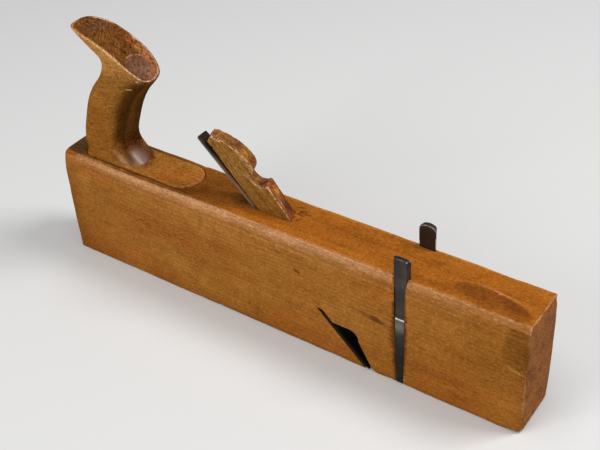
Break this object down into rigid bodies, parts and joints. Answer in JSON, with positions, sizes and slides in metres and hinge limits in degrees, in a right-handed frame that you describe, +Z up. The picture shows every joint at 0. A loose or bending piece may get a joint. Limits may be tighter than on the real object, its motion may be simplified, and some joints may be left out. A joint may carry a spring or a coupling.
{
  "type": "rabbet plane",
  "caption": "Wooden skew rabbet plane: long narrow beech stock with an open tote, a wedged skew iron, a side escapement and nickers dovetailed into its sides.",
  "frame": {"origin": "the middle of the sole, on the sole", "axes": "+X towards the toe, +Y to the user's left, where the shavings leave, +Z up"},
  "size_m": [0.381, 0.04, 0.196],
  "materials": {
    "beech_stock": "old oiled beech, golden orange, satin with worn edges",
    "beech_tote": "beech darkened and polished by the hand",
    "beech_wedge": "weathered beech, struck and chipped head",
    "blade_steel": "dark brown-grey patina, bright at the ground edge",
    "nicker_steel": "dark grey patina, bright on the struck top and the step"
  },
  "bodies": {
    "plane_body": {"stock": "beech_stock", "tote": "beech_tote"},
    "iron": {"iron": "blade_steel"},
    "wedge": {"wedge": "beech_wedge"},
    "nicker_right": {"nicker_right": "nicker_steel"},
    "nicker_left": {"nicker_left": "nicker_steel"}
  },
  "joints": [
    {"name": "iron_slide", "type": "slide", "parent": "plane_body", "child": "iron", "axis": [0.7071, 0, -0.7071], "range_m": [-0.004, 0.2]},
    {"name": "wedge_slide", "type": "slide", "parent": "plane_body", "child": "wedge", "axis": [-0.7071, 0, 0.7071], "range_m": [0, 0.1]},
    {"name": "nicker_right_slide", "type": "slide", "parent": "plane_body", "child": "nicker_right", "axis": [0, 0, 1], "range_m": [-0.0015, 0.11]},
    {"name": "nicker_left_slide", "type": "slide", "parent": "plane_body", "child": "nicker_left", "axis": [0, 0, 1], "range_m": [-0.0015, 0.11]}
  ]
}
